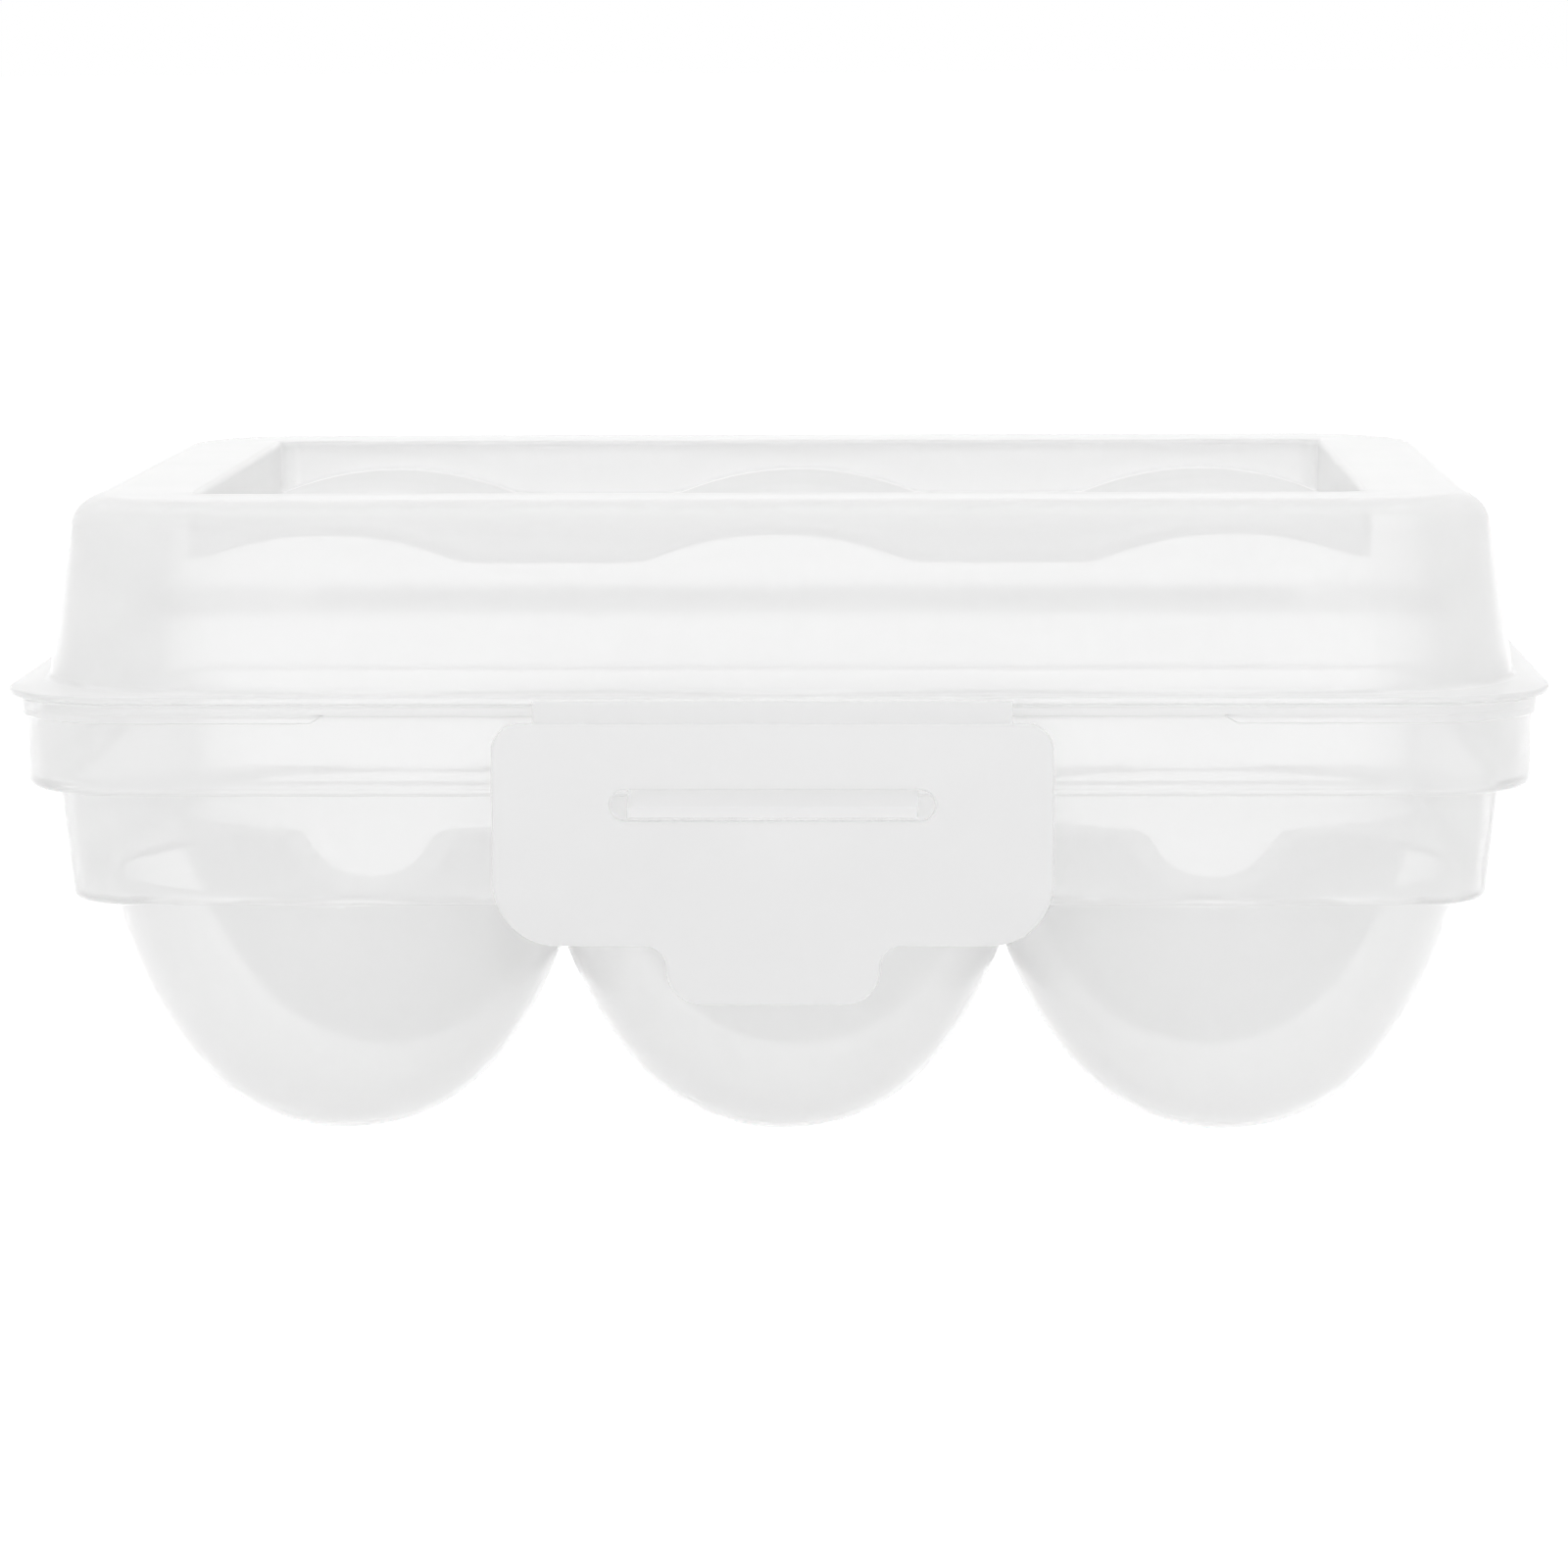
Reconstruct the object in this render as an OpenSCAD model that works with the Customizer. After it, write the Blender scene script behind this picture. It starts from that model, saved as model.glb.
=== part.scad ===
// Egg keeper with a flip lid: a translucent moulded box for six eggs.
// The base has six round cups under a flat deck, the lid turns on a film hinge at the back,
// and a latch flap on the lid's front edge snaps over a catch bar on the base.
// The origin is on the table under the middle of the box. X runs along the box, Y to the back.

/* [Egg cups] */
// Distance between neighbouring egg cups
egg_pitch = 47; // [44:0.5:56]
// Height of the cups, from the table to the underside of the deck
cup_h = 27.7; // [26:0.1:34]
// Outer radius of a cup's round bottom
cup_bottom_arc = 21.2; // [20:0.2:24]
// Outer radius of the flatter arc up a cup's side
cup_side_arc = 43; // [38:1:60]
// Angle from the cup's axis at which the two arcs meet
cup_blend_angle = 52; // [50:0.5:58]
// Radius of the flat foot under each cup
cup_foot_r = 3.75; // [2:0.25:6]
// Wall thickness of a cup
cup_wall = 0.8; // [0.6:0.1:1.4]

/* [Base] */
// Thickness of the flat deck that joins the cups
deck_t = 0.9; // [0.6:0.1:1.6]
// Wall thickness of the base
base_wall_t = 1.1; // [0.8:0.1:1.8]
// Distance from a cup's rim to the outside of the base's lower wall
cup_margin = 1; // [0.8:0.1:6]
// Radius of the lower wall's corners at deck level
base_corner_r = 7.2; // [6.4:0.2:16]
// Rounding of the lower wall's bottom edge
base_edge_r = 1; // [0.4:0.1:1.1]
// Height of the lower wall, from the underside of the deck to the collar
lower_wall_h = 11.9; // [8:0.1:30]
// Widening of the lower wall on each side, from the deck up to the collar
lower_wall_flare = 1.1; // [0:0.1:2]
// Step outwards from the lower wall to the collar
collar_step = 3.3; // [2:0.1:5]
// Height of the collar, up to the rim
collar_h = 8.4; // [6:0.05:16]
// Rounding of the collar's bottom edge
collar_edge_r = 1; // [0.4:0.1:2]
// How far the rim bead stands out from the collar
rim_out = 0.5; // [0.3:0.1:1.2]
// Thickness of the rim bead
rim_t = 1; // [0.8:0.1:2]
// Extra depth of the rim bead away from the latch
rim_apron = 0.8; // [0.3:0.1:1.5]
// Length of the shallow rim bead behind the latch
rim_notch_w = 93; // [70:1:110]

/* [Lid] */
// How far the lid's flange stands out from the collar
flange_out = 1.8; // [1.5:0.1:4]
// Thickness of the lid's flange
flange_t = 0.8; // [0.6:0.1:1.6]
// Distance from the flange's edge to the outside of the lid's wall
flange_w = 3; // [2.4:0.1:4]
// Height of the lid above its flange
lid_h = 19.2; // [16:0.05:40]
// Wall thickness of the lid
lid_wall_t = 1; // [0.8:0.1:1.8]
// Lean of the lid's wall inwards, from the flange to the top
lid_lean = 3; // [0:0.1:4]
// Radius of the lid wall's corners at the flange
lid_corner_r = 18; // [17:0.5:26]
// Rounding of the lid's top edge
lid_edge_r = 4; // [1.5:0.25:5]
// Thickness of the locating lip under the flange
lip_t = 0.9; // [0.6:0.1:1.5]
// Depth of the locating lip below the flange
lip_h = 1.8; // [1:0.1:4]

/* [Lid's sunken panel] */
// Width of the raised border round the sunken panel
border_w = 11.8; // [9:0.2:14]
// Depth of the sunken panel between the arches
panel_depth = 6.3; // [4:0.1:9]
// Rise of the arch over each column of eggs
arch_rise = 3; // [1:0.1:3.6]
// Width of the flat strip between two arches
arch_gap = 19; // [14:0.5:22]

/* [Latch] */
// Width of the latch flap
flap_w = 56.8; // [46:0.2:66]
// Height of the latch flap without its thumb tab
flap_h = 22.7; // [18:0.1:26]
// Thickness of the latch flap
flap_t = 1.2; // [0.8:0.1:2]
// Drop from the underside of the lid's flange to the top of the flap
flap_drop = 1.8; // [1.2:0.05:3]
// Radius of the flap's upper corners
flap_top_r = 2.8; // [1:0.2:6]
// Radius of the flap's lower corners
flap_low_r = 6.5; // [3:0.5:9]
// Width of the thumb tab
tab_w = 21.7; // [14:0.1:28]
// Height of the thumb tab
tab_h = 6; // [4:0.1:10]
// Radius of the thumb tab's corners
tab_r = 3.6; // [1:0.2:3.8]
// Radius of the hollow curve where the tab meets the flap
tab_fillet_r = 2.2; // [1:0.2:3.8]
// Length of the slot in the flap
slot_w = 33; // [24:0.2:38]
// Height of the slot in the flap
slot_h = 3.2; // [2.6:0.1:4]
// Distance from the top of the flap to the top of the slot
slot_drop = 6.7; // [6:0.1:7.4]

/* [Hinges] */
// Thickness of the film hinges
film_t = 0.35; // [0.25:0.05:0.5]
// Length of the film hinge at the back of the lid
back_film_w = 118; // [60:1:126]
// Length of the film hinge over the latch flap
latch_film_w = 48.4; // [30:0.2:52]
// Thickness of the hinge ledge behind the rim
ledge_t = 1; // [0.8:0.1:1.4]

/* [Fits] */
// Gap between the closed lid's flange and the rim
lid_gap = 0.25; // [0.15:0.05:0.4]
// Gap between the locating lip and the inside of the collar
lip_gap = 0.4; // [0.3:0.05:0.8]
// Gap between the catch bar and the ends of the slot
catch_end_gap = 1.85; // [0.5:0.05:3]
// Gap between the catch bar and the lower edge of the slot
catch_gap = 0.4; // [0.2:0.05:0.8]

/* [Hidden] */
$fn = 96;
milk = [0.93, 0.94, 0.94, 0.8];
milk_lid = [0.95, 0.96, 0.96, 0.7];
milk_latch = [0.9, 0.91, 0.92, 0.85];
// Overrun of a cutting shape past the surface that it cuts
cut = 1;
// Larger than the whole box, for cutting shapes that have no size of their own
far = 200;

// A cup's outline: the bottom arc's centre is on the axis, sunk so that the foot is flat at Z = 0
bottom_arc_z = sqrt(cup_bottom_arc * cup_bottom_arc - cup_foot_r * cup_foot_r);
side_arc_u = (cup_bottom_arc - cup_side_arc) * sin(cup_blend_angle);
side_arc_z = bottom_arc_z - (cup_bottom_arc - cup_side_arc) * cos(cup_blend_angle);
function cup_outer_r(z) = side_arc_u + sqrt(pow(cup_side_arc, 2) - pow(z - side_arc_z, 2));
function cup_inner_r(z) = side_arc_u + sqrt(pow(cup_side_arc - cup_wall, 2) - pow(z - side_arc_z, 2));

// Levels, from the table up
collar_z = cup_h + lower_wall_h;
rim_z = collar_z + collar_h;
rim_top_z = rim_z + rim_t;
flange_z = rim_top_z + lid_gap;
flange_top_z = flange_z + flange_t;
top_z = flange_top_z + lid_h;

// Centres of the base's corners, to a hundredth of a millimetre. Every ring of the base is
// concentric about them.
corner_x = round(100 * (egg_pitch + cup_outer_r(cup_h) + cup_margin - base_corner_r)) / 100;
corner_y = corner_x - egg_pitch / 2;
lower_r = base_corner_r + lower_wall_flare;
collar_r = lower_r + collar_step;
rim_r = collar_r + rim_out;
flange_r = collar_r + flange_out;
lip_r = collar_r - base_wall_t - lip_gap;

// Centres of the lid wall's corners
lid_corner_x = corner_x + flange_r - flange_w - lid_corner_r;
lid_corner_y = lid_corner_x - egg_pitch / 2;
lid_lean_angle = atan(lid_lean / lid_h);
lid_top_r = lid_corner_r - lid_lean;
panel_r = lid_top_r - border_w;
panel_x = lid_corner_x + panel_r;
panel_y = lid_corner_y + panel_r;
panel_z = top_z - panel_depth - lid_wall_t;
arch_half_w = (egg_pitch - arch_gap) / 2;
arch_r = (arch_half_w * arch_half_w + arch_rise * arch_rise) / (2 * arch_rise);

// The latch hangs against the edge of the flange
flap_y = corner_y + flange_r;
flap_top_z = flange_z - flap_drop;
slot_z = flap_top_z - slot_drop - slot_h;
catch_w = slot_w - 2 * catch_end_gap;
catch_z = slot_z + catch_gap;
// Slope of the catch bar's top, which the flap rides over as it closes
catch_top_z = slot_z + slot_h - catch_gap / 2;
catch_tip_h = 1;

// The film at the back is bent round as far out as the flap's outer face stands at the front
film_reach = flap_t;
ledge_z = rim_top_z - ledge_t;
film_mid_low = ledge_z + ledge_t / 2;
film_mid_high = flange_z + flange_t / 2;
film_bend_r = (film_mid_high - film_mid_low) / 2;
film_bend_y = flap_y + film_reach - film_bend_r - film_t / 2;

module rounded_rect(half_x, half_y, r) {
    square([2 * half_x, 2 * (half_y - r)], center = true);
    square([2 * (half_x - r), 2 * half_y], center = true);
    for (sx = [-1, 1], sy = [-1, 1])
        translate([sx * (half_x - r), sy * (half_y - r)])
            circle(r);
}

// Sweeps a wall's section round a rounded rectangle. The section's X is the distance from a
// corner's centre and its Y is the height.
module sweep_round(cx, cy) {
    for (i = [0:3])
        translate([i == 0 || i == 3 ? cx : -cx, i < 2 ? cy : -cy, 0])
            rotate([0, 0, 90 * i])
                rotate_extrude(angle = 90)
                    children();
    for (side = [0, 1]) {
        rotate([0, 0, 180 * side])
            translate([cx, 0, 0])
                rotate([90, 0, 0])
                    linear_extrude(height = 2 * cy, center = true)
                        children();
        rotate([0, 0, 90 + 180 * side])
            translate([cy, 0, 0])
                rotate([90, 0, 0])
                    linear_extrude(height = 2 * cx, center = true)
                        children();
    }
}

// What a rounding of radius r takes off a section's lower outer corner
module corner_cut(r) {
    difference() {
        translate([-r, -cut])
            square([r + cut, r + cut]);
        translate([-r, r])
            circle(r);
    }
}

// Section of the lower wall, upright where the deck meets it
module lower_wall_section() {
    difference() {
        polygon([
            [base_corner_r - base_wall_t, cup_h],
            [base_corner_r, cup_h],
            [lower_r, collar_z],
            [lower_r - base_wall_t, collar_z],
            [base_corner_r - base_wall_t, cup_h + deck_t]
        ]);
        translate([base_corner_r, cup_h])
            corner_cut(base_edge_r);
    }
}

// Section of the collar: a ledge out from the lower wall, and an upright band
module collar_section() {
    difference() {
        union() {
            translate([lower_r - base_wall_t, collar_z])
                square([collar_step + base_wall_t, base_wall_t]);
            translate([collar_r - base_wall_t, collar_z])
                square([base_wall_t, collar_h]);
        }
        translate([collar_r, collar_z])
            corner_cut(collar_edge_r);
    }
}

module base_wall() {
    color(milk)
        sweep_round(corner_x, corner_y)
            lower_wall_section();
}

module base_collar() {
    color(milk)
        sweep_round(corner_x, corner_y)
            collar_section();
}

// The bead is deeper away from the latch, and a ledge at the back carries the film hinge
module base_rim() {
    color(milk) {
        sweep_round(corner_x, corner_y)
            translate([collar_r - base_wall_t, rim_z])
                square([rim_out + base_wall_t, rim_t]);
        difference() {
            sweep_round(corner_x, corner_y)
                translate([collar_r, rim_z - rim_apron])
                    square([rim_out, rim_apron]);
            translate([-rim_notch_w / 2, -far / 2, rim_z - rim_apron - cut])
                cube([rim_notch_w, far / 2, rim_apron + cut]);
        }
        translate([-back_film_w / 2, corner_y + rim_r - rim_out, ledge_z])
            cube([back_film_w, flap_y - corner_y - rim_r + rim_out, ledge_t]);
    }
}

// The deck's holes run into each other, which leaves two star-shaped islands between the cups
module tray_deck() {
    color(milk)
        translate([0, 0, cup_h])
            linear_extrude(height = deck_t)
                difference() {
                    rounded_rect(
                        corner_x + base_corner_r - base_wall_t,
                        corner_y + base_corner_r - base_wall_t,
                        base_corner_r - base_wall_t
                    );
                    for (i = [-1:1], j = [-1, 1])
                        translate([i * egg_pitch, j * egg_pitch / 2])
                            circle(cup_inner_r(cup_h));
                }
}

// Half of a cup's outline, drawn in by the given thickness
module cup_outline(inset) {
    bottom_r = cup_bottom_arc - inset;
    side_r = cup_side_arc - inset;
    join_u = far * sin(cup_blend_angle);
    join_z = bottom_arc_z - far * cos(cup_blend_angle);
    intersection() {
        union() {
            translate([0, bottom_arc_z])
                circle(bottom_r);
            intersection() {
                translate([side_arc_u, side_arc_z])
                    circle(side_r);
                polygon([[0, bottom_arc_z], [join_u, join_z], [far, far], [0, far]]);
            }
        }
        translate([0, inset])
            square([far, cup_h - inset + (inset > 0 ? cut : 0)]);
    }
}

// One cup, cut off flat where the next cup begins. col is -1, 0 or 1 and row is -1 or 1.
module egg_cup(col, row) {
    left = col > -1 ? egg_pitch / 2 : far;
    right = col < 1 ? egg_pitch / 2 : far;
    color(milk)
        translate([col * egg_pitch, row * egg_pitch / 2, 0])
            intersection() {
                rotate_extrude()
                    difference() {
                        cup_outline(0);
                        cup_outline(cup_wall);
                    }
                translate([-left, row > 0 ? -egg_pitch / 2 : -far, -cut])
                    cube([left + right, far + egg_pitch / 2, cup_h + 2 * cut]);
            }
}

// The bar is seated on the lower wall and on the rounded bottom edge of the collar
module catch_bar() {
    root_u = base_corner_r;
    tip_u = flap_y + flap_t - corner_y;
    color(milk)
        translate([0, -corner_y, 0])
            rotate([90, 0, -90])
                linear_extrude(height = catch_w, center = true)
                    difference() {
                        polygon([
                            [root_u, catch_z],
                            [tip_u, catch_z],
                            [tip_u, catch_z + catch_tip_h],
                            [collar_r, catch_top_z],
                            [root_u, catch_top_z]
                        ]);
                        lower_wall_section();
                        collar_section();
                        translate([0, collar_z])
                            square([collar_r - base_wall_t / 2, far]);
                        translate([0, catch_z - cut])
                            square([lower_r - base_wall_t, far]);
                    }
}

// Flange round the foot of the lid, with a lip that drops inside the collar
module lid_flange() {
    color(milk_lid) {
        translate([0, 0, flange_z])
            linear_extrude(height = flange_t)
                difference() {
                    rounded_rect(corner_x + flange_r, corner_y + flange_r, flange_r);
                    rounded_rect(
                        corner_x + lip_r - lip_t,
                        corner_y + lip_r - lip_t,
                        corner_x + lip_r - lip_t - lid_corner_x
                    );
                }
        sweep_round(corner_x, corner_y)
            translate([lip_r - lip_t, flange_z - lip_h])
                square([lip_t, lip_h]);
    }
}

// The lid's outline as a section, drawn in by the given thickness
module lid_outline(inset) {
    edge_u = lid_corner_r
        - (lid_h - lid_edge_r) * tan(lid_lean_angle)
        - lid_edge_r / cos(lid_lean_angle);
    edge_z = top_z - lid_edge_r;
    foot_u = lid_corner_r - inset / cos(lid_lean_angle);
    foot_z = flange_top_z - (inset > 0 ? cut : 0);
    polygon([
        [0, foot_z],
        [foot_u + (flange_top_z - foot_z) * tan(lid_lean_angle), foot_z],
        [
            edge_u + (lid_edge_r - inset) * cos(lid_lean_angle),
            edge_z + (lid_edge_r - inset) * sin(lid_lean_angle)
        ],
        [edge_u, edge_z],
        [edge_u, top_z - inset],
        [0, top_z - inset]
    ]);
    translate([edge_u, edge_z])
        circle(lid_edge_r - inset);
}

// Wall, rounded top edge and border of the lid
module lid_cover() {
    color(milk_lid)
        sweep_round(lid_corner_x, lid_corner_y)
            intersection() {
                difference() {
                    lid_outline(0);
                    lid_outline(lid_wall_t);
                }
                translate([panel_r, 0])
                    square([far, far]);
            }
}

// Arches from front to back over the three columns of eggs
module arches(r) {
    for (i = [-1:1])
        translate([i * egg_pitch, 0, panel_z + arch_rise - arch_r])
            rotate([90, 0, 0])
                cylinder(r = r, h = far, center = true);
}

// Sunken panel in the lid's top: a shallow pan whose floor has the arches pressed up into it
module lid_top_panel() {
    color(milk_lid)
        difference() {
            translate([0, 0, panel_z])
                linear_extrude(height = top_z - panel_z)
                    rounded_rect(panel_x, panel_y, panel_r);
            arches(arch_r);
            difference() {
                translate([0, 0, panel_z + lid_wall_t])
                    linear_extrude(height = far)
                        rounded_rect(panel_x - lid_wall_t, panel_y - lid_wall_t, panel_r - lid_wall_t);
                arches(arch_r + lid_wall_t);
            }
        }
}

// Film bent round from the hinge ledge of the base to the flange of the lid
module lid_film_hinge() {
    color(milk_lid)
        rotate([90, 0, 90])
            linear_extrude(height = back_film_w, center = true) {
                for (z = [film_mid_low, film_mid_high])
                    translate([flap_y, z - film_t / 2])
                        square([film_bend_y - flap_y, film_t]);
                translate([film_bend_y, (film_mid_low + film_mid_high) / 2])
                    intersection() {
                        difference() {
                            circle(film_bend_r + film_t / 2);
                            circle(film_bend_r - film_t / 2);
                        }
                        translate([0, -far / 2])
                            square([far, far]);
                    }
            }
}

module flap_outline() {
    low = flap_top_z - flap_h;
    half = flap_w / 2;
    difference() {
        union() {
            translate([-half, low + flap_low_r])
                square([flap_w, flap_h - flap_low_r - flap_top_r]);
            translate([-half + flap_top_r, flap_top_z - flap_top_r])
                square([flap_w - 2 * flap_top_r, flap_top_r]);
            translate([-half + flap_low_r, low])
                square([flap_w - 2 * flap_low_r, flap_low_r]);
            for (side = [-1, 1]) {
                translate([side * (half - flap_top_r), flap_top_z - flap_top_r])
                    circle(flap_top_r);
                translate([side * (half - flap_low_r), low + flap_low_r])
                    circle(flap_low_r);
                translate([side * (tab_w / 2 - tab_r), low - tab_h + tab_r])
                    circle(tab_r);
            }
            translate([-tab_w / 2 + tab_r, low - tab_h])
                square([tab_w - 2 * tab_r, tab_h]);
            translate([-tab_w / 2, low - tab_h + tab_r])
                square([tab_w, tab_h - tab_r]);
            for (side = [-1, 1])
                mirror([side < 0 ? 1 : 0, 0])
                    translate([tab_w / 2, low - tab_fillet_r])
                        difference() {
                            square([tab_fillet_r, tab_fillet_r]);
                            translate([tab_fillet_r, 0])
                                circle(tab_fillet_r);
                        }
        }
        translate([-slot_w / 2 + slot_h / 2, slot_z])
            square([slot_w - slot_h, slot_h]);
        for (side = [-1, 1])
            translate([side * (slot_w - slot_h) / 2, slot_z + slot_h / 2])
                circle(d = slot_h);
    }
}

module latch_flap() {
    color(milk_latch)
        translate([0, -flap_y, 0])
            rotate([90, 0, 0])
                linear_extrude(height = flap_t)
                    flap_outline();
}

// Film from the edge of the flange down to the top of the flap
module latch_film_hinge() {
    color(milk_latch)
        translate([-latch_film_w / 2, -flap_y - film_t, flap_top_z])
            cube([latch_film_w, film_t, flange_z + flange_t / 2 - flap_top_z]);
}

base_wall();
base_collar();
base_rim();
tray_deck();
egg_cup(-1, -1);  // egg_cup_front_left
egg_cup(0, -1);  // egg_cup_front_middle
egg_cup(1, -1);  // egg_cup_front_right
egg_cup(-1, 1);  // egg_cup_back_left
egg_cup(0, 1);  // egg_cup_back_middle
egg_cup(1, 1);  // egg_cup_back_right
catch_bar();
lid_flange();
lid_cover();
lid_top_panel();
lid_film_hinge();
latch_flap();
latch_film_hinge();
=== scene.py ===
"""Milky see-through egg keeper: one-piece mouldings, film hinges, finish and studio light."""
import math

import bmesh
import bpy
from mathutils import Matrix, Vector


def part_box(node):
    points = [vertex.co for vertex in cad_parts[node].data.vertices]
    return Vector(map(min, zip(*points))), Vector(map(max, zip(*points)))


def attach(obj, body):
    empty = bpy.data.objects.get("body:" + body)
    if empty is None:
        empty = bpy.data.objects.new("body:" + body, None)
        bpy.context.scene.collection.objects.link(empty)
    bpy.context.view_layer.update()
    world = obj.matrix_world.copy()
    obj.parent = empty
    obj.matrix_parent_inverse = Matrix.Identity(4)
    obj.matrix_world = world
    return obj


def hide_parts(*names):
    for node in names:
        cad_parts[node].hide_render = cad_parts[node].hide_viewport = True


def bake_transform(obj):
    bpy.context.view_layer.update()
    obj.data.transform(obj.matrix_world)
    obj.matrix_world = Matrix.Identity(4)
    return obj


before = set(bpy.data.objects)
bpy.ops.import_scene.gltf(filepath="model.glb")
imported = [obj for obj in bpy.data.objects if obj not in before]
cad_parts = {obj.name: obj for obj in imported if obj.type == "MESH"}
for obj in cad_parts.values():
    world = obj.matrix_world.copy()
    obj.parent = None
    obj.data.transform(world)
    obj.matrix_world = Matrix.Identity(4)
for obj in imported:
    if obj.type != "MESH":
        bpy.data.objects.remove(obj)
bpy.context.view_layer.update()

MM = 0.001


def node_box(name):
    """Lowest and highest corner of a CAD node in millimetres."""
    low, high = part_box(name)
    return low / MM, high / MM


# Sizes taken from the frame, in millimetres
_, wall_high = node_box("base_wall")
collar_low, _ = node_box("base_collar")
_, rim_high = node_box("base_rim")
deck_low, deck_high = node_box("tray_deck")
flange_low, flange_high = node_box("lid_flange")
_, cover_high = node_box("lid_cover")
pan_low, _ = node_box("lid_top_panel")
flap_low, flap_high = node_box("latch_flap")
catch_low, catch_high = node_box("catch_bar")
latch_film_low, latch_film_high = node_box("latch_film_hinge")
back_film_low, back_film_high = node_box("lid_film_hinge")

# Sizes that a box does not show, the same as in the part's source
EGG_PITCH = 47
CUP_BOTTOM_ARC = 21.2
CUP_SIDE_ARC = 43
CUP_BLEND_ANGLE = math.radians(52)
CUP_FOOT_R = 3.75
CUP_WALL = 0.8
BASE_WALL = 1.1
BASE_CORNER_R = 7.2
FLARE = 1.1
BASE_EDGE_R = 1.0
COLLAR_STEP = 3.3
COLLAR_EDGE_R = 1.0
RIM_OUT = 0.5
RIM_T = 1.0
RIM_APRON = 0.8
RIM_NOTCH_W = 93
FLANGE_OUT = 1.8
FLANGE_T = 0.8
FLANGE_W = 3.0
LID_WALL = 1.0
LID_LEAN = 3.0
LID_CORNER_R = 18
LID_EDGE_R = 4.0
LIP_T = 0.9
LIP_GAP = 0.4
BORDER_W = 11.8
ARCH_RISE = 3.0
ARCH_GAP = 19
FLAP_TOP_R = 2.8
FLAP_LOW_R = 6.5
TAB_W = 21.7
TAB_H = 6.0
TAB_R = 3.6
TAB_FILLET_R = 2.2
SLOT_W = 33
SLOT_H = 3.2
SLOT_DROP = 6.7
FILM_T = 0.35

HALF_PITCH = EGG_PITCH / 2
CORNER_X = wall_high.x - BASE_CORNER_R - FLARE
CORNER_Y = CORNER_X - HALF_PITCH
LOWER_R = BASE_CORNER_R + FLARE
COLLAR_R = LOWER_R + COLLAR_STEP
RIM_R = COLLAR_R + RIM_OUT
FLANGE_R = COLLAR_R + FLANGE_OUT
LIP_R = COLLAR_R - BASE_WALL - LIP_GAP
LID_CORNER_X = CORNER_X + FLANGE_R - FLANGE_W - LID_CORNER_R
LID_CORNER_Y = LID_CORNER_X - HALF_PITCH
PANEL_R = LID_CORNER_R - LID_LEAN - BORDER_W
DECK_UNDER = deck_low.z
DECK_TOP = deck_high.z
COLLAR_Z = collar_low.z
RIM_TOP = rim_high.z
RIM_Z = RIM_TOP - RIM_T
FLANGE_TOP = flange_high.z
FLANGE_Z = FLANGE_TOP - FLANGE_T
LIP_Z = flange_low.z
LID_TOP = cover_high.z
PAN_Z = pan_low.z
LEDGE_HALF = (back_film_high.x - back_film_low.x) / 2

# Roundings and overlaps that only the looks need
UNDER_EDGE_R = 0.4
TOP_EDGE_R = 0.5
FLOOR_FILLET = 0.5
PAN_FILLET = 0.4
PAN_EDGE_R = 0.7
BAR_EDGE_R = 0.25
TUCK = 0.1
EMBED = 0.05
HAIR = 0.02

# Points closer than this are one point, and edges shorter than this go
WELD = 0.002
SHORT_EDGE = 0.0005


def arc(cu, cz, r, start, end, steps):
    """Points along an arc in a section, in degrees from the outward direction."""
    angles = [math.radians(start + (end - start) * i / steps) for i in range(steps + 1)]
    return [(cu + r * math.cos(a), cz + r * math.sin(a)) for a in angles]


def line(a, b, steps):
    """Points from a towards b, without a itself."""
    return [
        tuple(p + (q - p) * (i + 1) / steps for p, q in zip(a, b))
        for i in range(steps)
    ]


def interpolate(points, u):
    """Height at u of a path that runs outwards."""
    if u <= points[0][0]:
        return points[0][1]
    for (u0, z0), (u1, z1) in zip(points, points[1:]):
        if u <= u1:
            return z0 + (z1 - z0) * (u - u0) / max(u1 - u0, 1e-9)
    return points[-1][1]


def ease_join(gap, ease):
    """How far a soft join stands off the sharp one, where two surfaces differ by gap."""
    h = max(ease - abs(gap), 0) / ease
    return h * h * ease / 4


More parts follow.
